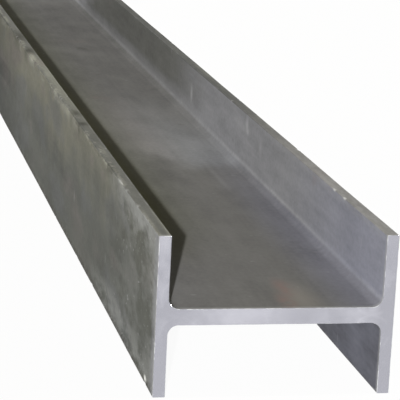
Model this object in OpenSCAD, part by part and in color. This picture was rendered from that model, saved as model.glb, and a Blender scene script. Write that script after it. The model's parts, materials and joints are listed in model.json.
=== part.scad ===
// Hot-rolled steel H-beam: one bar of parallel-flange section, sawn square at both ends.
// It lies as stocked, on the toes of its two flanges, with the web level between them.
// X runs across the section, Y along the bar and Z up.
// The origin is on the ground, under the middle of the bar.

/* [Section] */
// Depth of the section, over the outer faces of the two flanges
section_depth = 294; // [200:1:500]
// Width of each flange, from toe to toe
flange_width = 200; // [120:1:400]
// Thickness of each flange
flange_thickness = 15; // [8:0.5:40]
// Thickness of the web
web_thickness = 20; // [6:0.5:40]
// Radius of the root fillet, where the web runs into a flange
root_radius = 13; // [4:0.5:25]
// Radius that the rolls leave on the corners of the flange toes
toe_radius = 1; // [0.5:0.25:4]

/* [Bar] */
// Sawn length of the bar
bar_length = 6000; // [500:50:12000]

/* [Hidden] */
// Steel under its rolling skin, as the photograph shows it
steel_colour = "#757570";
// Both ways from the middle of the section
SIDES = [-1, 1];
// Distance of each flange's middle plane from the middle of the section
flange_centre = (section_depth - flange_thickness) / 2;
// Height of the inner face of a flange above the web, on either side of it
channel_depth = (flange_width - web_thickness) / 2;
// How far a root fillet is bedded in the web and the flange, so that they fuse
root_bed = min(web_thickness, flange_thickness) / 4;
// Fineness of the drawn arcs
$fn = 64;

// A strip centred on the origin, with its four corners rounded.
module rounded_strip(width, height, radius) {
    straight_width = width - 2 * radius;
    straight_height = height - 2 * radius;
    square([width, straight_height], center = true);
    square([straight_width, height], center = true);
    for (x = SIDES, y = SIDES)
        translate([x * straight_width / 2, y * straight_height / 2]) circle(r = radius);
}

// The hollow fillet of one root, with its corner on the origin: it fills the corner
// between the X and Y axes and meets each of them at a tangent.
module root_fillet(radius, bed) {
    difference() {
        translate([-bed, -bed]) square(radius + bed);
        translate([radius, radius]) circle(r = radius);
    }
}

// One flange, upright, with rounded toes.
module flange_profile() {
    rounded_strip(flange_thickness, flange_width, min(toe_radius, flange_thickness / 2));
}

// The web, which runs to the middle of each flange.
module web_profile() {
    square([2 * flange_centre, web_thickness], center = true);
}

// The whole section, with its middle on the origin.
module section_profile() {
    inner_face = section_depth / 2 - flange_thickness;
    web_profile();
    for (x = SIDES) translate([x * flange_centre, 0]) flange_profile();
    for (x = [0, 1], y = [0, 1])
        mirror([x, 0]) mirror([0, y])
            translate([inner_face, web_thickness / 2])
                mirror([1, 0]) root_fillet(min(root_radius, channel_depth), root_bed);
}

// The bar: the section drawn out along Y, standing on its lower toes.
module h_beam() {
    color(steel_colour)
        translate([0, 0, flange_width / 2])
            rotate([90, 0, 0])
                linear_extrude(height = bar_length, center = true) section_profile();
}

h_beam();
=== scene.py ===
# %% [markdown]
# A steel H-beam, dressed for the camera.
# The bar was rolled from one hot billet, so it is one piece here too: a long skin of grey
# rolling scale, and two pale ends where a saw went through it.
# The packed model holds the true section. This lesson sweeps that section again with enough
# points to carry nicks and a ragged saw edge, and then gives the skin and the ends their finish.

# %% Load the packed bar
import json
import math
import bpy
import numpy as np
from mathutils import Color, Matrix, Vector


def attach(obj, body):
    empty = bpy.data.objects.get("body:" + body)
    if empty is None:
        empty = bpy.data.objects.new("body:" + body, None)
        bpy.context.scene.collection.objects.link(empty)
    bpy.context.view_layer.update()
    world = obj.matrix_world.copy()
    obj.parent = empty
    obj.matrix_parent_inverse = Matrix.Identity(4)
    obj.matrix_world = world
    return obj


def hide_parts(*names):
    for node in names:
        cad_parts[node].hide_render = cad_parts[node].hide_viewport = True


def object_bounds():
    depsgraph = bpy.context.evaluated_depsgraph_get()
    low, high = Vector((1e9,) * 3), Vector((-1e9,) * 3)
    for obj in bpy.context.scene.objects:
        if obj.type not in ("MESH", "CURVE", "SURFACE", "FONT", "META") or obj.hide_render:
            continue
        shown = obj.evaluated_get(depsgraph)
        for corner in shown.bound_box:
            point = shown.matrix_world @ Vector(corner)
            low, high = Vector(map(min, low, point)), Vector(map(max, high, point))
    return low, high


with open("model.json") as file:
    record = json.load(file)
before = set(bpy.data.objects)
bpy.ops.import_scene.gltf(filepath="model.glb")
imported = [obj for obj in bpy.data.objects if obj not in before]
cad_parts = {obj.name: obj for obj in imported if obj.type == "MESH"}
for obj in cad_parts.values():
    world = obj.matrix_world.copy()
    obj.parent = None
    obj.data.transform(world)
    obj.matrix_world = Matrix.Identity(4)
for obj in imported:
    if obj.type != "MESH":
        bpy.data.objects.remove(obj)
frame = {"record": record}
cad_low, cad_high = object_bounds()
print("packed bar, metres:", [round(side, 4) for side in cad_high - cad_low])

# %% [markdown]
# The camera stands at the near end, a little to the left and above, and looks along the bar.
# It could be placed by eye, but straight edges that run into the distance give it away: where
# they meet fixes the tilt, and how fast they close in fixes the lens.
# So the numbers below are a fit to the edges of the bar, measured from the middle of its near end.

# %% Camera
middle_height = (cad_low.z + cad_high.z) / 2
near_end = Vector((0.0, cad_low.y, middle_height))
camera_from_near_end = Vector((-0.5738, -2.2103, 0.6698))
camera_turn = math.radians(12.08)
camera_dip = math.radians(13.11)
camera_roll = math.radians(2.83)
lens_mm = 178.23

upright = math.radians(90)
turned = Matrix.Rotation(-camera_turn, 3, "Z") @ Matrix.Rotation(upright - camera_dip, 3, "X")
aim = turned @ Matrix.Rotation(camera_roll, 3, "Z")
camera_data = bpy.data.cameras.new("view_along_the_bar")
camera_data.lens = lens_mm
camera = bpy.data.objects.new("view_along_the_bar", camera_data)
camera.matrix_world = Matrix.Translation(near_end + camera_from_near_end) @ aim.to_4x4()
bpy.context.scene.collection.objects.link(camera)
bpy.context.scene.camera = camera
print("camera to the near end, metres:", round(camera_from_near_end.length, 3))

# %% [markdown]
# The section of the bar is an H on its side: a level web between two upright flanges.
# Its overall size is the packed box, and the packed mounts say where the web and the toes lie,
# so the two thicknesses need no second measuring.
# Only the two radii that the rolls leave are written here: the hollow root and the rounded toe.

# %% Sizes of the section
MM = 0.001
mount_at = {mount["name"]: Vector(mount["pos_m"]) for mount in frame["record"]["mounts"]}
half_depth = (cad_high.x - cad_low.x) / 2
half_width = (cad_high.z - cad_low.z) / 2
half_web = (mount_at["web_upper_face"].z - mount_at["web_lower_face"].z) / 2
flange_thickness = 2 * (half_depth - mount_at["right_lower_toe"].x)
inner_face = half_depth - flange_thickness
root_radius = 13 * MM
toe_radius = 1 * MM
print("web", round(2 * half_web / MM, 2), "mm, flanges", round(flange_thickness / MM, 2), "mm")

# %% [markdown]
# The outline could be cut out of boxes and bevelled, but a bevel gives little say in where its
# points fall. Here one quarter is drawn as straight runs and arcs, and mirrored three times.
# Each straight run gets extra points close to its ends. They keep the smooth shading of the arc
# from spilling over the flat face beside it, and by the toes they also give the nicks their shape.

# %% Straight runs and arcs
point_spacing = 10 * MM


def straight_run(start, end, guards):
    """Points from start up to, but not including, end, with guard points near both ends."""
    start, end = np.array(start), np.array(end)
    length = np.linalg.norm(end - start)
    first, last = guards[-1], length - guards[-1]
    inner_count = max(2, round((last - first) / point_spacing) + 1)
    outer_guards = guards[:-1]
    far_guards = [length - guard for guard in reversed(outer_guards)]
    places = [0.0, *outer_guards, *np.linspace(first, last, inner_count), *far_guards]
    return [start + (end - start) * place / length for place in places]


def arc_run(centre, radius, first_deg, last_deg, steps):
    """Points round an arc, up to but not including its last one."""
    angles = np.radians(np.linspace(first_deg, last_deg, steps + 1)[:-1])
    return [np.array(centre) + radius * np.array([math.cos(a), math.sin(a)]) for a in angles]


print("points about every", round(point_spacing / MM), "mm along a straight run")

# %% Draw one quarter of the outline
arc_steps = {"root": 8, "toe": 3}
root_guards = [2.5 * MM]
toe_guards = [0.8 * MM, 3.5 * MM]


def quarter_outline():
    """From the middle of the web's upper face, over the right upper toe, to mid-height outside."""
    root_x, root_z = inner_face - root_radius, half_web + root_radius
    toe_z = half_width - toe_radius
    toe_in, toe_out = inner_face + toe_radius, half_depth - toe_radius
    points = straight_run((0, half_web), (root_x, half_web), root_guards)
    points += arc_run((root_x, root_z), root_radius, -90, 0, arc_steps["root"])
    points += straight_run((inner_face, root_z), (inner_face, toe_z), toe_guards)
    points += arc_run((toe_in, toe_z), toe_radius, 180, 90, arc_steps["toe"])
    points += straight_run((toe_in, half_width), (toe_out, half_width), toe_guards)
    points += arc_run((toe_out, toe_z), toe_radius, 90, 0, arc_steps["toe"])
    points += straight_run((half_depth, toe_z), (half_depth, 0), toe_guards)
    return np.array([*points, (half_depth, 0)])


quarter = quarter_outline()
print("quarter outline:", len(quarter), "points")

# %% Mirror the quarter into the whole outline
lower = quarter[::-1] * (1, -1)
outline = np.concatenate([quarter[:-1], lower[:-1], (-quarter)[:-1], (-lower)[:-1]])
following = np.roll(outline, -1, axis=0)
chords = np.linalg.norm(following - outline, axis=1)
reach_round = np.concatenate([[0.0], np.cumsum(chords)])
perimeter = reach_round[-1]
tangents = following - np.roll(outline, 1, axis=0)
tangents /= np.linalg.norm(tangents, axis=1)[:, None]
outline_normals = np.stack([-tangents[:, 1], tangents[:, 0]], axis=1)
print("outline:", len(outline), "points,", round(perimeter, 3), "m round")

# %% [markdown]
# A stocked bar is dragged, slung and dropped, and its toes take the knocks: short shallow nicks
# where a chain or the edge of another bar bit into the corner.
# Bump alone would leave the corners straight, so the nicks are pressed into the mesh.
# A few of them lie where they show in the view along the bar. The rest are scattered, and a sling
# bites more than one toe at a time, so each station marks three of the eight corners.

# %% Nicks that show in the view
CORNERS = [(side, toe, edge) for side in (-1, 1) for toe in (-1, 1) for edge in ("outer", "inner")]
seen_nicks = [
    # metres from the near end, half length, depth, corner
    (0.053, 7 * MM, 0.5 * MM, (-1, -1, "outer")),
    (0.154, 8 * MM, 0.4 * MM, (-1, 1, "outer")),
    (0.240, 9 * MM, 0.4 * MM, (-1, 1, "outer")),
    (0.296, 18 * MM, 0.7 * MM, (-1, 1, "outer")),
    (0.196, 7 * MM, 0.6 * MM, (1, 1, "inner")),
    (0.246, 9 * MM, 0.7 * MM, (1, 1, "inner")),
]
nicks = [(cad_low.y + from_end, half, deep, corner) for from_end, half, deep, corner in seen_nicks]
print("nicks that show:", len(nicks))

# %% Scatter the other nicks
luck = np.random.RandomState(52)
station_count = 30
corners_at_a_station = 3
clear_of_seen_nicks = 0.35
clear_of_far_end = 0.05
half_lengths_mm = (5.0, 12.0)
depths_mm = (0.2, 0.6)
first_station, last_station = cad_low.y + clear_of_seen_nicks, cad_high.y - clear_of_far_end
for station in luck.uniform(first_station, last_station, station_count):
    nick_half = luck.uniform(*half_lengths_mm) * MM
    for pick in luck.choice(len(CORNERS), corners_at_a_station, replace=False):
        nick_depth = luck.uniform(*depths_mm) * MM
        nicks.append((station, nick_half, nick_depth, CORNERS[pick]))
print("nicks in all:", len(nicks))

# %% [markdown]
# The outline is now drawn out along the bar in rings. A straight bar needs few of them, so the
# plain rings stand wide apart, and each nick brings a small cluster of its own.
# The first and last two rings are kept for the sawn edges.

# %% Space the rings along the bar
plain_spacing = 60 * MM
first_ring = 9 * MM
closest_rings = 0.9 * MM
cluster_shares = np.array([-1.0, -0.62, -0.28, 0.0, 0.28, 0.62, 1.0])
inside_low, inside_high = cad_low.y + first_ring, cad_high.y - first_ring
plain_count = round((inside_high - inside_low) / plain_spacing) + 1
wanted = [np.linspace(inside_low, inside_high, plain_count)]
wanted += [station + half * cluster_shares for station, half, deep, corner in nicks]
wanted = np.unique(np.clip(np.concatenate(wanted), inside_low, inside_high))
stations = [wanted[0]]
for station in wanted[1:]:
    if station - stations[-1] > closest_rings:
        stations.append(station)
stations = np.array([cad_low.y, cad_low.y, *stations, cad_high.y, cad_high.y])
print("rings:", len(stations), "triangles:", 2 * len(stations) * len(outline))

# %% [markdown]
# The grid holds one point for each ring and each outline point. Rolled toes are never ruler
# straight, so each toe first draws in by a slow ripple of a few tenths of a millimetre.
# It only draws in, never out, and the bar stays within its packed box.

# %% Sweep the outline and ripple the toes
ring_count, point_count = len(stations), len(outline)
across = np.repeat(outline[None, :, 0], ring_count, axis=0)
rise = np.repeat(outline[None, :, 1], ring_count, axis=0)
along = np.repeat(stations[:, None], point_count, axis=1)
ripple_depth = 0.5 * MM
ripple_lengths = (0.83, 0.37)
ripple_reach = 30 * MM
side_phase = 3
toe_near = np.clip(1 - (half_width - np.abs(rise)) / ripple_reach, 0, 1) ** 2
own_phase = side_phase * np.sign(across) + np.sign(rise)
swing = sum(np.sin(2 * math.pi * along / span + own_phase) for span in ripple_lengths)
ripple = ripple_depth * (0.5 + swing / (2 * len(ripple_lengths)))
rise = rise - np.sign(rise) * ripple * toe_near
print("toes draw in by up to", round(float((ripple * toe_near).max()) / MM, 2), "mm")

# %% [markdown]
# A nick is deepest in its middle and fades along the bar and round the corner.
# It is measured from the sharp corner, which the toe radius has taken off, so the bite is set
# deeper than the nick that is left. The same sums say how bare each point is, for the finish.

# %% Press the nicks into the corners
nick_reach = 2.5 * MM
bite_gain = 1.6
bare_gain = 2
bare = np.zeros_like(along)
for station, nick_half, nick_depth, (side, toe, edge) in nicks:
    corner_x = side * (half_depth if edge == "outer" else inner_face)
    inward = np.array([-side if edge == "outer" else side, -toe]) / math.sqrt(2)
    deepest_bite = bite_gain * nick_depth
    distance = np.hypot(across - corner_x, rise - toe * half_width)
    in_section = np.clip(1 - distance / (nick_reach + deepest_bite), 0, 1)
    in_length = np.clip(1 - np.abs(along - station) / nick_half, 0, 1)
    bite = deepest_bite * in_section * np.sqrt(in_length)
    across = across + inward[0] * bite
    rise = rise + inward[1] * bite
    bare = np.maximum(bare, np.minimum(1, bare_gain * in_section) * in_length)
print("points pressed in:", int((bare > 0).sum()))

# %% [markdown]
# The saw leaves a narrow ragged rim: the last millimetre of the skin breaks away, and the bare
# edge catches the light. A bevel of one width would look machined.
# So the end ring is drawn in by a width that wanders round the outline, and the ring behind it
# stands back by the same amount.

# %% Break the sawn edges
rim_least, rim_spread = 0.3 * MM, 0.7 * MM


def ragged_rim():
    """A width for each outline point, which wanders from point to point."""
    raw = luck.uniform(0, 1, point_count)
    soft = (np.roll(raw, 1) + 2 * raw + np.roll(raw, -1)) / 4
    return rim_least + rim_spread * soft


for end_ring, next_ring, step_in in ((0, 1, 1), (ring_count - 1, ring_count - 2, -1)):
    rim = ragged_rim()
    across[end_ring] -= outline_normals[:, 0] * rim
    rise[end_ring] -= outline_normals[:, 1] * rim
    along[next_ring] += step_in * rim
    bare[[end_ring, next_ring]] = 1
print("sawn rim, mm:", round(rim.min() / MM, 2), "to", round(rim.max() / MM, 2))

# %% [markdown]
# The grid becomes one closed mesh: a band of four-sided faces for each pair of rings, and one
# face for each sawn end. Working from arrays keeps the corner order known, which the unwrapping
# needs next.

# %% Lay out the faces
ring_index, point_index = np.meshgrid(np.arange(ring_count - 1), np.arange(point_count), indexing="ij")
next_point = (point_index + 1) % point_count
bands = np.stack([
    ring_index * point_count + point_index,
    ring_index * point_count + next_point,
    (ring_index + 1) * point_count + next_point,
    (ring_index + 1) * point_count + point_index,
], axis=-1).reshape(-1, 4)
near_face = np.arange(point_count)[::-1]
far_face = (ring_count - 1) * point_count + np.arange(point_count)
faces = [*bands.tolist(), near_face.tolist(), far_face.tolist()]
sawn_bands = np.isin(ring_index.ravel(), (0, ring_count - 2))
print("bands:", len(bands), "faces, of which sawn:", int(sawn_bands.sum()))

# %% Build the mesh
sharpest_smooth_edge = math.radians(32)
corner_points = np.stack([across, along, rise + middle_height], axis=-1).reshape(-1, 3)
bar_mesh = bpy.data.meshes.new("h_beam_bar")
bar_mesh.from_pydata(corner_points.tolist(), [], faces)
bar_mesh.polygons.foreach_set("material_index", np.array([*sawn_bands, True, True], dtype=np.int32))
bar_mesh.polygons.foreach_set("use_smooth", np.ones(len(faces), dtype=bool))
bar_mesh.set_sharp_from_angle(angle=sharpest_smooth_edge)
bare_layer = bar_mesh.attributes.new("bare_steel", "FLOAT", "POINT")
bare_layer.data.foreach_set("value", bare.ravel().astype(np.float32))
bar = bpy.data.objects.new("h_beam_bar", bar_mesh)
bpy.context.scene.collection.objects.link(bar)
print("bar:", len(bar_mesh.vertices), "points,", len(bar_mesh.polygons), "faces")

# %% [markdown]
# A bar twenty times as long as it is wide unwraps into a thin ribbon, and a picture baked on it
# would waste most of its square. So the skin is slit along its length, rolled out flat and cut at
# the middle of the bar: two strips of three metres fill the square, with the two sawn ends in the
# margin that is left.

# %% Unwrap the skin into two strips
gutter_share = 0.012
half_bar = (cad_high.y - cad_low.y) / 2
strip_scale = (1 - 2 * gutter_share) / half_bar
strip_height = perimeter * strip_scale
middle_ring = int(np.argmin(np.abs(stations)))
far_half = (ring_index >= middle_ring).ravel()
ring_corners = [ring_index, ring_index, ring_index + 1, ring_index + 1]
round_corners = [point_index, point_index + 1, point_index + 1, point_index]
ring_places = np.stack(ring_corners, axis=-1).reshape(-1, 4)
round_places = np.stack(round_corners, axis=-1).reshape(-1, 4)
strip_start = np.where(far_half, stations[middle_ring], cad_low.y)[:, None]
strip_floor = np.where(far_half, 2 * gutter_share + strip_height, gutter_share)[:, None]
skin_u = gutter_share + (along[:, 0][ring_places] - strip_start) * strip_scale
skin_v = strip_floor + reach_round[round_places] * strip_scale
print("strips:", round(strip_scale, 3), "of the square a metre")

# %% Unwrap the sawn ends beside them
end_floor = 3 * gutter_share + 2 * strip_height
end_scale = (1 - gutter_share - end_floor) / (2 * half_width)
end_u = gutter_share + (outline[:, 0] + half_depth) * end_scale
end_v = end_floor + (outline[:, 1] + half_width) * end_scale
end_step = gutter_share + 2 * half_depth * end_scale
unwrapped = np.concatenate([
    np.stack([skin_u, skin_v], axis=-1).reshape(-1, 2),
    np.stack([end_u, end_v], axis=-1)[::-1],
    np.stack([end_u + end_step, end_v], axis=-1),
])
bake_map = bar_mesh.uv_layers.new(name="OFBake")
bake_map.data.foreach_set("uv", unwrapped.astype(np.float32).ravel())
print("ends:", round(end_scale, 3), "of the square a metre")

# %% [markdown]
# A finish is a tree of nodes, and its sums read best as sums. The small class below stands for
# one output of a node, so that `1 - mask` or `0.3 * grain + mask` adds its own Math nodes.
# Every other node comes from one method, which takes its type, its settings and what goes into it.
# Most masks are soft steps: eased climbs from 0 to 1 between two places, fading falls from 1 to 0,
# a band does one after the other, and lifted keeps a mask from falling below a share.

# %% A value that can be used in sums
class Value:
    """One output of a node. A sum with it adds a Math node to the same tree."""

    def __init__(self, tree, socket):
        self.tree = tree
        self.socket = socket

    def node(self, kind, settings=None, inputs=None, output=0):
        """Adds a node of this kind, with its settings first and then its values and links."""
        made = self.tree.nodes.new("ShaderNode" + kind)
        for name, setting in (settings or {}).items():
            setattr(made, name, setting)
        for name, given in (inputs or {}).items():
            if isinstance(given, Value):
                self.tree.links.new(given.socket, made.inputs[name])
            else:
                made.inputs[name].default_value = given
        return Value(self.tree, made.outputs[output] if len(made.outputs) else None)

    def maths(self, operation, first, second=0.0):
        return self.node("Math", {"operation": operation}, {0: first, 1: second})

    def __add__(self, other):
        return self.maths("ADD", self, other)

    def __sub__(self, other):
        return self.maths("SUBTRACT", self, other)

    def __rsub__(self, other):
        return self.maths("SUBTRACT", other, self)

    def __mul__(self, other):
        return self.maths("MULTIPLY", self, other)

    def __truediv__(self, other):
        return self.maths("DIVIDE", self, other)

    def __rtruediv__(self, other):
        return self.maths("DIVIDE", other, self)

    def __pow__(self, other):
        return self.maths("POWER", self, other)

    def __rpow__(self, other):
        return self.maths("POWER", other, self)

    def __abs__(self):
        return self.maths("ABSOLUTE", self)

    def fraction(self):
        """What is left above the whole number below it."""
        return self.maths("FRACT", self)

    def least(self, other):
        return self.maths("MINIMUM", self, other)

    def most(self, other):
        return self.maths("MAXIMUM", self, other)

    def centred(self):
        """A pattern that runs from 0 to 1, moved so that it swings about 0."""
        return self - 0.5

    def eased(self, low, high):
        """0 below low and 1 above high, with a soft step between them."""
        ends = {"Value": self, "From Min": low, "From Max": high}
        return self.node("MapRange", {"interpolation_type": "SMOOTHSTEP"}, ends)

    def fading(self, low, high):
        """1 below low and 0 above high, with a soft step between them."""
        return 1 - self.eased(low, high)

    def band(self, start, full, fade, end):
        """A climb from start to full, times a fall from fade to end."""
        return self.eased(start, full) * self.fading(fade, end)

    def lifted(self, least_share):
        """A mask that runs from 0 to 1, squeezed to run from this share to 1."""
        return least_share + (1 - least_share) * self

    def coloured(self, none, full):
        """A mix of two colours, by this value."""
        return self.node("Mix", {"data_type": "RGBA"}, {0: self, 6: none, 7: full}, output=2)

    __radd__ = __add__
    __rmul__ = __mul__


print("a value has:", [name for name in vars(Value) if not name.startswith("__")])

# %% Start a finish
def shade(red, green, blue):
    """A colour as a picture shows it, from 0 to 255, as the linear colour that a node takes."""
    seen = Color([part / 255 for part in (red, green, blue)])
    return (*seen.from_srgb_to_scene_linear(), 1.0)


def new_finish(name):
    """An empty material and its tree, as a value that has no output yet."""
    material = bpy.data.materials.new(name)
    material.use_nodes = True
    material.node_tree.nodes.clear()
    return material, Value(material.node_tree, None)


def layered(colour, coats):
    """Lays coats over a colour. Each has a share, a mask and a colour of its own."""
    for share, mask, coat in coats:
        colour = (share * mask).coloured(colour, coat)
    return colour


print("shade gives mid grey as", round(shade(128, 128, 128)[0], 3))

# %% [markdown]
# Two things make up nearly all of the finish. Patches are clouds of noise, stretched to a size in
# each direction, for what the mill and the yard leave everywhere. Spots are single marks with a
# place of their own. A place is given as the distance to the right of the middle, the distance
# from the near end and the height, all in metres, and its half sizes in the same order in mm.

# %% Patches
def patches(place, sizes_mm, offset, detail, rough):
    """Cloudy noise whose patches have these sizes in X, Y and Z. The offset picks a part of it."""
    scales = tuple(1 / (size * MM) for size in sizes_mm)
    shift = (offset, offset, offset)
    moved = place.node("VectorMath", {"operation": "MULTIPLY_ADD"}, {0: place, 1: scales, 2: shift})
    amounts = {"Vector": moved, "Scale": 1.0, "Detail": detail, "Roughness": rough}
    return place.node("TexNoise", None, amounts)


print("helper ready:", patches.__name__)

# %% Spots, and several masks together
def spot(place, centre, sizes_mm):
    """1 at a place on the bar, falling to 0 at these half sizes from it."""
    x, from_end, height = centre
    middle = (x, cad_low.y + from_end, height)
    away = place.node("VectorMath", {"operation": "SUBTRACT"}, {0: place, 1: middle})
    spans = tuple(size * MM for size in sizes_mm)
    shares = place.node("VectorMath", {"operation": "DIVIDE"}, {0: away, 1: spans})
    length = place.node("VectorMath", {"operation": "LENGTH"}, {0: shares}, output=1)
    return length.fading(0.0, 1.0)


def spots(place, places):
    """A spot for each centre and its half sizes."""
    return [spot(place, centre, sizes_mm) for centre, sizes_mm in places]


def strongest(masks):
    """The largest of several masks at each point."""
    first, *others = masks
    for mask in others:
        first = first.most(mask)
    return first


def weighed(parts):
    """The sum of several masks or patterns, each times its share."""
    return sum(share * part for share, part in parts)


print("helpers ready:", [helper.__name__ for helper in (spot, spots, strongest, weighed)])

# %% [markdown]
# The skin of the bar is scale: the hard grey oxide that forms while the steel is rolled hot.
# It isn't one grey. The outsides of the flanges are olive towards the top, where dust settles and
# hands reach, and slate below. The web is browner, the insides of the flanges are violet by the
# ends, and along the bar both have a paler length and darker lengths of painted shade.
# A picture could be wrapped round it, but it would fit one bar only. Here each face is a mask,
# made from the place on the bar in metres, and the patterns run on from face to face.
# A span is named for what it measures: along is the distance from the nearer end, across is the
# distance to the right of the middle, and height is the height above the floor.

# %% Rolled skin: where a point lies on the bar
rolled_skin, skin = new_finish("rolled_skin")
place = skin.node("TexCoord", output="Object")
place_x, place_y, place_z = (skin.node("SeparateXYZ", None, {0: place}, output=axis) for axis in "XYZ")
from_middle = abs(place_x)
from_web = abs(place_z - middle_height)
from_ends = cad_high.y - abs(place_y)
radii_off_web = (from_web - half_web) / root_radius
toe_depth = half_width - from_web
outer_depth = half_depth - from_middle
side_depth = outer_depth.least(from_middle - inner_face)
corner_depth = toe_depth.most(outer_depth)
print("each point knows how far it lies from the ends, the web, the toes and the outsides")

# %% Rolled skin: masks for the faces
face_fade = (1 * MM, 4 * MM)
toe_fade = (0.5 * MM, 2.5 * MM)
ends_along = (0.12, 0.45)
web_shares = (0.34, 0.74)
root_shadow_shares = (0.0, 0.12, 0.35, 0.55)
above_root_shares = (1.0, 1.2, 2.2, 3.5)
root_line_share = 0.66
root_line_fade_shares = (0.5 * MM / root_radius, 5 * MM / root_radius)
outside = outer_depth.fading(*face_fade)
inside = 1 - outside
on_toe = toe_depth.fading(*toe_fade)
on_web = radii_off_web.fading(*web_shares)
by_root = abs(radii_off_web - root_line_share).fading(*root_line_fade_shares)
root_shade_zone = radii_off_web.band(*root_shadow_shares)
above_root = radii_off_web.band(*above_root_shares)
below_web = place_z.fading(middle_height - half_web, middle_height)
by_ends = from_ends.fading(*ends_along)
to_the_right = place_x.eased(-inner_face, inner_face)
print("masks: outside, inside, on_toe, on_web, by_root, root_shade_zone, above_root, below_web, by_ends,",
      "to_the_right")

# %% [markdown]
# Scale mottles in many sizes at once: blotches and clouds, drifts along the bar, lines from the
# rolls, and a fine grain. Rain, hands and slings add drips, wipes and rubs.
# One noise with much detail would mix all of them everywhere. With a pattern for each, every face
# can take what belongs to it. A pattern swings from 0 to 1 about one half, and eased or fading
# with two numbers in between cuts patches out of it.

# %% Rolled skin: clouds, drifts and grain
blotches = patches(place, (50, 90, 40), offset=3.1, detail=3.0, rough=0.5)
smears = patches(place, (70, 130, 60), offset=15.1, detail=3.0, rough=0.5)
clouds = patches(place, (110, 220, 70), offset=7.7, detail=3.0, rough=0.55)
drifts = patches(place, (110, 520, 60), offset=11.3, detail=4.0, rough=0.55)
rolling_lines = patches(place, (9, 900, 9), offset=5.9, detail=3.0, rough=0.6)
fine = patches(place, (6, 9, 6), offset=1.7, detail=3.0, rough=0.6)
drips = patches(place, (300, 70, 380), offset=13.9, detail=3.0, rough=0.55)
rub_and_highlight_patches = patches(place, (25, 160, 25), offset=61.0, detail=4.0, rough=0.65)
wipes = patches(place, (34, 110, 16), offset=27.3, detail=4.0, rough=0.6)
mottle = patches(place, (20, 36, 15), offset=57.0, detail=4.0, rough=0.6)
hues = patches(place, (130, 210, 80), offset=23.7, detail=3.0, rough=0.5)
print("patterns: blotches, smears, clouds, drifts, rolling lines, fine grain, drips, rubs, wipes,",
      "mottle, hues")

# %% [markdown]
# Along the bar the skin is paler for a length, and darker and duller further on. The darker
# lengths are painted shade, for light that falls off along the bar away from the near end.
# These lengths could be painted one by one, but they come back every three metres. So the distance
# past the start of the last pale length is worked out once, with a slant and a wander, so that
# no border is straight.

# %% Rolled skin: paler lengths, and darker lengths of painted shade
length_repeat = 3.0
first_pale_start = -2.19
slant = 1.2
cloud_wander, drift_wander = 0.22, 0.3
pale_span = (0.0, 0.11, 0.0, 0.8)
dark_from, dull_from, darkest_from = (0.32, 0.83), (0.35, 0.85), (0.85, 1.2)
dark_until = (1.7, 1.95)
before_pale_span = (2.5, 2.75, 2.9, 3.0)
wander = slant * place_x + cloud_wander * clouds.centred() + drift_wander * drifts.centred()
past_pale_start = length_repeat * ((place_y + wander - first_pale_start) / length_repeat).fraction()
pale_length = past_pale_start.band(*pale_span)
# The dark, dull and darkest lengths are painted shade.
dark_length = past_pale_start.band(*dark_from, *dark_until)
dull_length = past_pale_start.band(*dull_from, *dark_until)
darkest_length = past_pale_start.band(*darkest_from, *dark_until)
before_pale = past_pale_start.band(*before_pale_span)
print("repeats every", length_repeat, "m")

# %% [markdown]
# The outsides of the flanges are what a yard sees. Their tint changes with the height, along a
# border that drifts and drips, and clouds of mauve and of blue grey lie over both tints.
# Layers of colour, each with its mask and share, keep this readable: a later one lies on top.

# %% Rolled skin: the outsides of the flanges
olive = shade(106, 105, 95)
slate = shade(82, 83, 79)
mauve = shade(100, 95, 93)
blue_grey = shade(89, 90, 91)
drift_rise, drip_rise, near_drop = 90 * MM, 100 * MM, 30 * MM
near_drop_along = (0.5, 1.0)
olive_height = (0.07, 0.185)
mauve_height = (0.02, 0.09)
olive_loss_share = 0.6
most_mauve_share, mauve_loss_share, low_mauve_share = 0.6, 0.35, 0.3
wavy_height = place_z + drift_rise * drifts.centred() + drip_rise * drips.centred()
wavy_height = wavy_height - near_drop * from_ends.fading(*near_drop_along)
olive_share = wavy_height.eased(*olive_height) * (1 - olive_loss_share * by_ends)
mauve_share = most_mauve_share - mauve_loss_share * by_ends
mauve_share = mauve_share * place_z.eased(*mauve_height).lifted(low_mauve_share)
outside_tint = layered(slate, [
    (1.0, olive_share, olive),
    (mauve_share, hues.eased(0.52, 0.66), mauve),
    (0.5, hues.fading(0.36, 0.48), blue_grey),
])
print("outsides: slate below, olive above, with clouds of mauve and blue grey")

# %% [markdown]
# By the ends, where the bar is handled, pale dust sits on the flanges, thickest along the top
# rim and the cut, with dark smears between. One cloud decides both: dust where it is high and
# smears where it is low. Spots push it up or down where the near end shows dust or a smear.

# %% Rolled skin: dust and smears by the ends
dust_grey = shade(131, 132, 130)
dark_olive = shade(80, 81, 75)
cut_violet = shade(128, 128, 136)
dusted_places = [
    ((-half_depth, 0.050, 0.168), (30, 70, 44)),
    ((-half_depth, 0.280, 0.022), (30, 130, 26)),
    ((-half_depth, 0.045, 0.036), (30, 50, 38)),
]
smeared_places = [
    ((-half_depth, 0.150, 0.138), (30, 65, 42)),
    ((-half_depth, 0.100, 0.082), (30, 80, 34)),
]
rim_below_toe, rim_along = (8 * MM, 50 * MM), (10 * MM, 60 * MM)
top_below_toe = (5 * MM, 26 * MM)
cut_along = (8 * MM, 34 * MM)
placed_cloud = sum(spots(place, dusted_places)) - sum(spots(place, smeared_places))
low_dust = spot(place, (-half_depth, 0.360, 0.018), (30, 210, 32))
by_rim = toe_depth.fading(*rim_below_toe).most(from_ends.fading(*rim_along))
by_top = toe_depth.fading(*top_below_toe) * place_z.eased(middle_height, cad_high.z)
by_cut = from_ends.fading(*cut_along)
print("dust:", len(dusted_places), "placed clouds,", len(smeared_places), "placed smears")

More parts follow.
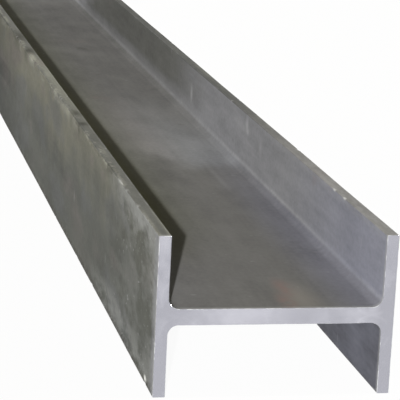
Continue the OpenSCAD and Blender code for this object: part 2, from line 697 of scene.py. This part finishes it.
# %% Rolled skin: lay the dust and the smears
ground_dust_share, dust_rise_share = 0.75, 1.8
open_dust_share, smear_loss_share = 0.3, 0.7
dust_cloud = smears + weighed([
    (0.06, by_top),
    (0.08, by_cut),
    (0.60, mottle.centred()),
    (0.13, placed_cloud),
])
dust_by_height = ground_dust_share + dust_rise_share * place_z
dust = by_ends * by_rim.lifted(open_dust_share) * dust_by_height * dust_cloud.eased(0.34, 0.62)
dark_smears = by_ends * (1 - smear_loss_share * by_rim) * dust_cloud.fading(0.36, 0.52)
outside_tint = layered(outside_tint, [
    (0.90, dust, dust_grey),
    (0.55, low_dust * mottle.eased(0.3, 0.62), dust_grey),
    (0.40, by_cut, cut_violet),
    (0.60, dark_smears, dark_olive),
])
print("outsides: dusty round the ends")

# %% [markdown]
# The web lies level. Painted shade darkens it by the left root and tints it olive, for the shadow
# that the left flange casts and for the soft edge of that shadow. The margin by the right root
# stays bluish near the end, and its pale length is cooler on the right.
# All of these are wide and soft, so plain masks across and along the bar are enough.

# %% Rolled skin: the web
brown_grey = shade(109, 108, 107)
pale_grey = shade(131, 129, 129)
cool_grey = shade(133, 134, 137)
web_olive = shade(98, 98, 90)
strip_shade_olive = shade(86, 84, 50)
margin_blue = shade(112, 112, 120)
cool_across = (0.0, 0.08)
left_shade_across, left_shade_along = (-0.05, 0.03), (0.2, 0.5)
left_root_across, left_root_along = (-0.07, -0.03), (0.15, 0.55)
margin_across, margin_along = (0.05, 0.115), (0.3, 1.1)
pale_tint = place_x.eased(*cool_across).coloured(pale_grey, cool_grey)
# Painted shade: olive over the left of the web, for the shadow of the left flange and its soft edge.
left_web_shade = place_x.fading(*left_shade_across) * from_ends.eased(*left_shade_along)
by_left_root = place_x.fading(*left_root_across) * from_ends.eased(*left_root_along)
by_margin = place_x.eased(*margin_across) * from_ends.fading(*margin_along)
web_tint = layered(brown_grey, [
    (1.00, pale_length, pale_tint),
    (0.80, left_web_shade, web_olive),
    (0.75, by_left_root, strip_shade_olive),
    (1.00, by_margin, margin_blue),
])
print("web: brown grey, paler past a pale_start, shaded on the left")

# %% [markdown]
# The insides of the flanges are violet by the ends and grey further in, and turn to iron grey in
# the dark length, which is painted shade. Along the upper half of the hollow root, in patches, a
# paler grey is a painted highlight. It is a colour here: the hollow itself is in the mesh.

# %% Rolled skin: the insides of the flanges
violet_grey = shade(133, 134, 145)
middle_grey = shade(133, 133, 136)
iron_grey = shade(94, 94, 91)
root_highlight_grey = shade(148, 148, 150)
violet_along = (0.05, 0.55)
highlight_fade_along = (1.4, 1.7)
up_the_flange_shares = (1.0, 3.0)
low_dark_share = 0.45
highlight_loss_share = 0.9
dark_share = radii_off_web.eased(*up_the_flange_shares).lifted(low_dark_share)
# Painted highlight along the upper half of the root, fading towards the far end.
root_highlight = by_root * rub_and_highlight_patches.eased(0.42, 0.62)
root_highlight = root_highlight * (1 - highlight_loss_share * from_ends.eased(*highlight_fade_along))
inside_tint = layered(violet_grey, [
    (1.0, from_ends.eased(*violet_along), middle_grey),
    (dark_share, dark_length, iron_grey),
    (0.5, root_highlight, root_highlight_grey),
])
print("insides: violet by the ends, grey further in, pale along the roots")

# %% [markdown]
# The toes are the narrow top and bottom faces of the flanges. The left one is dusty for a metre
# or so, and the right one is worn by the end and iron grey beyond it.
# With a tint for each face, the four are laid over one another by their masks.

# %% Rolled skin: the toes, and all faces together
toe_grey = shade(101, 101, 97)
toe_dust = shade(127, 127, 118)
worn_toe = shade(128, 126, 125)
iron_toe = shade(87, 87, 85)
rubbed_along = (0.05, 0.2)
worn_along = (0.25, 1.05)
rubbed_depth = (1 * MM, 6 * MM)
rubbed_share = 0.7
dusty_toe = spot(place, (-inner_face, 1.0, cad_high.z), (26, 460, 20))
rubbed_toe = from_ends.fading(*rubbed_along) * side_depth.fading(*rubbed_depth)
left_toe_tint = (rubbed_share * rubbed_toe).most(dusty_toe).coloured(toe_grey, toe_dust)
right_toe_tint = from_ends.eased(*worn_along).coloured(worn_toe, iron_toe)
toe_tint = to_the_right.coloured(left_toe_tint, right_toe_tint)
tint = layered(inside_tint, [
    (1.0, on_web, web_tint),
    (1.0, outside, outside_tint),
    (1.0, on_toe, toe_tint),
])
print("insides, web, outsides and toes have their own tints")

# %% [markdown]
# Where the upper toe turns into the outside, its rim is worn: pale dust in patches, and along the
# very corner a line of small pale flecks and dark gaps. It is strongest on the left flange and
# away from the ends. The zone comes from the depth below the toe and behind the outside.

# %% Rolled skin: the worn rims of the upper toes
rim_dust = shade(142, 142, 132)
fleck_tone = shade(160, 159, 148)
rim_depth = (2 * MM, 22 * MM)
rim_thickness = (4 * MM, flange_thickness - 3 * MM)
corner_line_depth = (3 * MM, 11 * MM)
right_loss_share, lower_loss_share = 0.7, 0.8
rim_zone = toe_depth.fading(*rim_depth) * outer_depth.fading(*rim_thickness) * (1 - by_ends)
rim_zone = rim_zone * (1 - right_loss_share * to_the_right) * (1 - lower_loss_share * below_web)
rim_line = corner_depth.fading(*corner_line_depth) * rim_zone * (1 - below_web)
rim_marks = patches(place, (40, 140, 40), offset=19.3, detail=4.0, rough=0.65)
rim_flecks = patches(place, (12, 50, 12), offset=93.0, detail=4.0, rough=0.7)
tint = layered(tint, [
    (0.65, rim_zone * rim_marks.eased(0.5, 0.6), rim_dust),
    (0.45, rim_line * rim_flecks.eased(0.53, 0.61), fleck_tone),
    (0.55, rim_line * rim_flecks.fading(0.38, 0.46), iron_toe),
])
print("rims: dust, flecks and gaps")

# %% [markdown]
# Scale is never one tone for long. Each pattern swings the tints lighter and darker by its share,
# and some places are always darker. Most of these are painted shade: the corners, darkened to dull
# their highlight, the dark and dull lengths further on, the lower channel under the web and the
# lower part of the root. The bottom of the outsides, the web just before each pale length and a
# band just above the root are darker too.
# Everything goes into one sum, and the tint is scaled by it, so that the hue stays as it is.

# %% Rolled skin: patterns that lighten and darken
hidden_loss_share = 0.6
swings = [
    (0.30, blotches.centred()),
    (0.35, clouds.centred()),
    (0.30, drifts.centred()),
    (0.35, fine.centred() * (1 - hidden_loss_share * inside * below_web)),
    (0.15, rolling_lines.centred() * inside),
    (0.40, wipes.centred() * inside),
    (0.25, mottle.centred() * outside),
]
print("tone swings by", len(swings), "patterns")

# %% Rolled skin: places that are darker
corner_fade = (0.3 * MM, 1.8 * MM)
right_across = (0.03, 0.1)
right_web_loss_share = 0.5
root_shadow_along, above_root_along = (0.55, 0.85), (0.3, 0.45)
foot_height, foot_along = (0.0, 0.07), (0.5, 0.9)
shadows = [
    # Painted shade on the corners, to dull the highlight that the light draws along them.
    (0.25, corner_depth.fading(*corner_fade) * (1 - by_ends)),
    # Painted shade: the dull lengths of the outsides, and the dark lengths of the web and the insides.
    (0.36, outside * dull_length),
    # Painted shade: the insides of the lower channel, under the web.
    (0.52, inside * below_web),
    (0.15, on_web * dark_length * (1 - right_web_loss_share * place_x.eased(*right_across))),
    (0.07, on_web * before_pale),
    (0.08, inside * darkest_length),
    # Painted shade in the lower part of the hollow root.
    (0.13, inside * root_shade_zone * from_ends.eased(*root_shadow_along)),
    (0.04, inside * above_root * from_ends.eased(*above_root_along)),
    (0.10, outside * place_z.fading(*foot_height) * from_ends.eased(*foot_along)),
]
tone = weighed(swings) - weighed(shadows)
toned = skin.node("VectorMath", {"operation": "SCALE"}, {0: tint, "Scale": 1 + tone})
print("tone:", len(swings), "patterns less", len(shadows), "darker places")

# %% [markdown]
# Marks come on top: a bloom of rust by the near end of the web, dark smudges on the upper toe,
# dirt and pale specks on the outsides, a few pale scratches across the inside of the flange, and
# chips where the toes were knocked.
# A mark that shows in the view has a place of its own. The others come from patterns, so the far
# end and the hidden sides look as used as the rest.

# %% Rolled skin: rust and a wiped line on the web
rust_tone = shade(131, 114, 111)
halo_tone = shade(134, 130, 125)
web_top = mount_at["web_upper_face"].z
stray_rust_share = 0.5
rust_places = [
    ((0.019, 0.028, web_top), (18, 55, 10)),
    ((0.030, 0.088, web_top), (18, 62, 10)),
]
rust_halo = spot(place, (0.038, 0.045, web_top), (36, 110, 10))
wiped_line = spot(place, (0.078, 0.720, web_top), (7, 150, 10))
rust_flecks = patches(place, (16, 22, 16), offset=31.0, detail=3.0, rough=0.6)
stray_rust = patches(place, (150, 260, 150), offset=41.0, detail=3.0, rough=0.6).eased(0.64, 0.8)
rust = strongest([*spots(place, rust_places), stray_rust_share * stray_rust])
rust = rust * rust_flecks.eased(0.25, 0.6)
print("rust:", len(rust_places), "placed spots in one halo")

# %% Rolled skin: smudges, dirt and specks
smudge_tone = shade(58, 57, 50)
smudge_x = 5 * MM - half_depth
dirt_height = (3 * MM, 15 * MM)
stray_smudge_share, rim_smudge_share = 0.4, 0.65
smudge_places = [
    ((smudge_x, 0.675, cad_high.z), (14, 22, 32)),
    ((smudge_x, 0.760, cad_high.z), (15, 40, 32)),
    ((smudge_x, 1.360, cad_high.z), (18, 66, 32)),
    ((smudge_x, 1.530, cad_high.z), (28, 115, 32)),
]
stray_smudges = patches(place, (70, 90, 60), offset=53.0, detail=4.0, rough=0.6).eased(0.64, 0.78)
rim_smudges = rim_zone * rim_marks.fading(0.34, 0.42)
pattern_smudges = [stray_smudge_share * stray_smudges, rim_smudge_share * rim_smudges]
smudges = strongest([*pattern_smudges, *spots(place, smudge_places)])
grit = patches(place, (8, 14, 8), offset=83.0, detail=3.0, rough=0.6)
ground_dirt = outside * place_z.fading(*dirt_height) * grit.eased(0.42, 0.54)
pale_specks = outside * by_ends * grit.eased(0.64, 0.72)
print("smudges:", len(smudge_places), "placed, with dirt by the ground and specks by the ends")

# %% Rolled skin: scratches and chips
scratch_tone = shade(165, 165, 167)
chip_tone = shade(225, 225, 222)
scratch_places = [
    ((inner_face, 0.762, 0.183), (6, 15, 20)),
    ((inner_face, 0.757, 0.174), (6, 15, 10)),
    ((inner_face, 0.667, 0.165), (6, 15, 22)),
    ((inner_face, 1.205, 0.152), (6, 15, 24)),
]
scratch_shares = [1.0, 1.0, 0.5, 0.8]
stray_scratch_share = 0.4
chip_places = [
    ((-half_depth, 0.053, 0.007), (8, 13, 6)),
    ((-half_depth, 0.288, cad_high.z), (2.5, 30, 2.5)),
    ((inner_face, 0.196, cad_high.z), (4, 9, 4)),
    ((inner_face, 0.246, cad_high.z), (4, 9, 4)),
]
stray_scratches = patches(place, (14, 9, 60), offset=59.0, detail=2.0, rough=0.5).eased(0.7, 0.8)
seen_scratches = zip(scratch_shares, spots(place, scratch_places))
seen_scratches = [share * scratch for share, scratch in seen_scratches]
scratches = strongest([stray_scratch_share * stray_scratches, *seen_scratches])
chips = strongest(spots(place, chip_places))
print("scratches:", len(scratch_places), "placed, chips:", len(chip_places))

# %% Rolled skin: lay the marks
marked = layered(toned, [
    (0.70, ground_dirt, smudge_tone),
    (0.40, pale_specks, scratch_tone),
    (0.80, rust_halo, halo_tone),
    (0.85, rust, rust_tone),
    (0.15, wiped_line, scratch_tone),
    (0.80, smudges, smudge_tone),
    (0.65, scratches, scratch_tone),
    (1.00, chips, chip_tone),
])
print("marks lie over the toned skin")

# %% [markdown]
# Where the scale is knocked or rubbed off, bare steel shows: in the nicks, along the corners of
# the toes in short flecks, and on the right toe by the near end.
# The nicks come from the mesh, which kept how bare each point is, so colour and shape agree.

# %% Rolled skin: bare steel along the toes
bare_tone = shade(168, 168, 168)
bare_edge_depth = (0.8 * MM, 4.0 * MM)
pressed_share, worn_share, between_flecks_share = 0.5, 0.3, 0.4
plain_rub_share, end_rub_share = 0.1, 0.4
pressed = skin.node("Attribute", {"attribute_name": "bare_steel"}, output="Fac")
flecks = patches(place, (6, 30, 6), offset=67.0, detail=3.0, rough=0.6).eased(0.42, 0.6)
edge_depth = toe_depth.most(side_depth)
rubbed = edge_depth.fading(*bare_edge_depth) * rub_and_highlight_patches.eased(0.4, 0.6) * flecks
worn_corner = spot(place, (inner_face, 0.15, cad_high.z), (45, 700, 16))
worn_corner = worn_corner * flecks.lifted(between_flecks_share)
rubbed_edge_share = plain_rub_share + end_rub_share * by_ends
bare_share = strongest([pressed_share * pressed, rubbed_edge_share * rubbed, worn_share * worn_corner])
skin_colour = bare_share.coloured(marked, bare_tone)
print("bare steel follows the nicks and the rubbed corners")

# %% [markdown]
# Scale is matt, a little smoother where it is rubbed bare and rougher where it rusts.
# Its relief is far finer than the mesh, so it is a bump: the grain, pits, roll lines and blotches
# each have a height in tenths or hundredths of a millimetre.

# %% Rolled skin: gloss and relief
scale_rough = 0.78
skin_rough = scale_rough + weighed([(-0.1, clouds), (-0.18, bare_share), (0.1, rust)])
pits = patches(place, (3, 4, 3), offset=71.0, detail=2.0, rough=0.5).eased(0.2, 0.5)
relief_mm = weighed([(0.10, fine), (0.05, pits), (0.05, rolling_lines), (0.15, blotches)])
skin_normal = skin.node("Bump", None, {"Strength": 0.7, "Distance": MM, "Height": relief_mm})
skin_shader = skin.node("BsdfPrincipled", None, {
    "Base Color": skin_colour,
    "Roughness": skin_rough,
    "Specular IOR Level": 0.06,
    "Normal": skin_normal,
})
skin.node("OutputMaterial", None, {"Surface": skin_shader})
print("rolled skin:", len(rolled_skin.node_tree.nodes), "nodes")

# %% [markdown]
# The ends are bare steel, fresh from the saw and paler than the skin. Fine straight kerf lines
# cross them, the rub of the blade leaves cloudy patches, and near each root the grain of the
# rolled steel bends round the fillet, which shows as a faint pale arc.
# It is metal, so it takes its brightness from what it reflects.

# %% Sawn ends: kerf lines, clouds and bent grain
sawn_steel, sawn = new_finish("sawn_steel")
pale_steel = shade(176, 176, 184)
dull_steel = shade(156, 156, 164)
flow_radius, flow_half = 1.75 * root_radius, 3 * MM
low_height = (0.0, 0.09)
cut = sawn.node("TexCoord", output="Object")
cut_x, cut_y, cut_z = (sawn.node("SeparateXYZ", None, {0: cut}, output=axis) for axis in "XYZ")
blade_clouds = patches(cut, (34, 34, 34), offset=2.3, detail=4.0, rough=0.6)
kerf_lines = patches(cut, (120, 120, 1.1), offset=9.1, detail=2.0, rough=0.5)
to_root_x = abs(cut_x) - (inner_face - root_radius)
to_root_z = abs(cut_z - middle_height) - (half_web + root_radius)
from_root = (to_root_x * to_root_x + to_root_z * to_root_z) ** 0.5
flow_arc = abs(from_root - flow_radius).fading(0.0, flow_half)
on_flange = abs(cut_x).eased(inner_face - root_radius, inner_face)
pale_share = weighed([
    (0.75, blade_clouds.eased(0.3, 0.7)),
    (0.20, kerf_lines),
    (0.20, flow_arc),
    (-0.35, on_flange),
    (-0.28, cut_z.fading(*low_height)),
])
print("sawn ends: clouds, kerf lines and an arc round each root")

# %% Sawn ends: painted highlights, dim patches and burrs
highlight_steel = shade(191, 191, 199)
burr_highlight_steel = shade(206, 207, 210)
# Painted highlights: bright spots on the middle of the web and the upper left flange.
highlight_places = [
    ((-0.035, 0.0, 0.100), (62, 30, 26)),
    ((-0.140, 0.0, 0.192), (20, 30, 30)),
]
dim_places = [
    ((0.028, 0.0, 0.100), (46, 30, 26)),
    ((0.140, 0.0, 0.188), (22, 30, 44)),
    ((-0.116, 0.0, 0.100), (26, 30, 26)),
    ((-0.140, 0.0, 0.045), (22, 30, 62)),
]
burr_depth = (0.05 * MM, 0.3 * MM)
cut_depth = cad_high.y - abs(cut_y)
burr_patches = patches(cut, (9, 9, 9), offset=47.0, detail=3.0, rough=0.6)
# A brighter tone on the burrs along the sawn edge, a painted highlight.
burr_highlights = cut_depth.eased(*burr_depth) * burr_patches.eased(0.45, 0.62)
sawn_colour = layered(dull_steel, [
    (1.00, pale_share, pale_steel),
    (0.45, strongest(spots(cut, highlight_places)), highlight_steel),
    (0.70, strongest(spots(cut, dim_places)), dull_steel),
    (1.00, burr_highlights, burr_highlight_steel),
])
print("rubs:", len(highlight_places), "bright,", len(dim_places), "dim")

# %% Sawn ends: gloss and relief
sawn_least_rough = 0.15
sawn_rough = sawn_least_rough + weighed([(0.03, blade_clouds), (0.02, kerf_lines)])
kerf_relief_mm = weighed([(0.02, kerf_lines), (0.04, blade_clouds)])
sawn_normal = sawn.node("Bump", None, {"Strength": 0.25, "Distance": MM, "Height": kerf_relief_mm})
sawn_shader = sawn.node("BsdfPrincipled", None, {
    "Base Color": sawn_colour,
    "Metallic": 0.85,
    "Roughness": sawn_rough,
    "Normal": sawn_normal,
})
sawn.node("OutputMaterial", None, {"Surface": sawn_shader})
print("sawn steel:", len(sawn_steel.node_tree.nodes), "nodes")

# %% [markdown] The faces already say which of the two finishes they wear, by number, so they
# only need to be added in that order.

# %% Put the finishes on the bar
bar_mesh.materials.append(rolled_skin)
bar_mesh.materials.append(sawn_steel)
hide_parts("h_beam")
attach(bar, "root")
print("bar rides on root and stands for h_beam")

# %% [markdown]
# The bar lies on a plain white floor. A white floor under a lamp renders grey, and more light
# would bleach the bar. So the camera, and what the steel mirrors, see it as mostly white by itself,
# and the small share that is left to the lamps keeps the shadow of the bar.

# %% Floor
white = (1.0, 1.0, 1.0, 1.0)
floor_grey = (0.82, 0.82, 0.82, 1.0)
own_white_share = 0.95
floor_half = 300.0


def seen_directly(tree):
    """1 for the camera and for what metal mirrors, 0 for the light that falls on things."""
    kinds = ("Is Camera Ray", "Is Glossy Ray", "Is Transmission Ray")
    return strongest(tree.node("LightPath", output=kind) for kind in kinds)


floor_signs = [(-1, -1), (1, -1), (1, 1), (-1, 1)]
floor_corners = [(x * floor_half, y * floor_half, 0) for x, y in floor_signs]
floor_mesh = bpy.data.meshes.new("floor")
floor_mesh.from_pydata(floor_corners, [], [(0, 1, 2, 3)])
floor = bpy.data.objects.new("floor", floor_mesh)
bpy.context.scene.collection.objects.link(floor)
white_floor, floor_tree = new_finish("white_floor")
lit_floor = floor_tree.node("BsdfDiffuse", None, {"Color": floor_grey})
own_white = floor_tree.node("Emission", None, {"Color": white, "Strength": 1.0})
floor_mix = {0: own_white_share * seen_directly(floor_tree), 1: lit_floor, 2: own_white}
floor_tree.node("OutputMaterial", None, {"Surface": floor_tree.node("MixShader", None, floor_mix)})
floor_mesh.materials.append(white_floor)
print("floor:", 2 * floor_half, "m wide")

# %% [markdown]
# One key light stands near the camera, a little to its left and higher. It draws the dark strip
# along the web, in the shadow of the near flange, so the size of that shadow gives its direction.
# One weaker fill light stands low on the right. It lights the outside of the right flange and the
# inside of the left one, and passes over the web.
# The rest is a wide dim dome, brighter towards the horizon than overhead, so that the outsides of
# the flanges are filled in while the channel between them stays deep.

# %% Key and fill lights
shadow_across = 91.5 * MM
shadow_along = 355 * MM
shadow_drop = half_width - half_web
to_key = Vector((-shadow_across, -shadow_along, shadow_drop))
key_strength = 9.0
key_softness = math.radians(1)
fill_rise = math.tan(math.radians(16))
to_fill = Vector((1, 0, fill_rise))
fill_strength = 2.5
fill_softness = math.radians(2)


def far_light(name, towards, strength, softness):
    """A lamp so far off that its light comes from one direction."""
    lamp_data = bpy.data.lights.new(name, "SUN")
    lamp_data.energy = strength
    lamp_data.angle = softness
    lamp = bpy.data.objects.new(name, lamp_data)
    lamp.rotation_mode = "QUATERNION"
    lamp.rotation_quaternion = towards.to_track_quat("Z", "Y")
    bpy.context.scene.collection.objects.link(lamp)


far_light("key_light", to_key, key_strength, key_softness)
far_light("right_fill", to_fill, fill_strength, fill_softness)
print("towards the key light:", [round(part, 3) for part in to_key.normalized()])

# %% Dome
overhead_light = (0.075, 0.066, 0.0, 1.0)
horizon_light = (0.22, 0.22, 0.22, 1.0)
overhead_rise = (0.1, 0.42)
dome_world = bpy.data.worlds.new("dim_dome")
dome_world.use_nodes = True
dome_world.node_tree.nodes.clear()
dome = Value(dome_world.node_tree, None)
direction = dome.node("TexCoord", output="Generated")
dome_z = dome.node("SeparateXYZ", None, {0: direction}, output="Z")
dome_light = dome_z.eased(*overhead_rise).coloured(horizon_light, overhead_light)
seen_dome = seen_directly(dome).coloured(dome_light, white)
background = dome.node("Background", None, {"Color": seen_dome, "Strength": 1.0})
dome.node("OutputWorld", None, {"Surface": background})
bpy.context.scene.world = dome_world
bpy.context.scene.view_settings.view_transform = "Standard"
print("dome:", overhead_light[:3], "overhead,", horizon_light[:3], "at the horizon")

# %% [markdown]
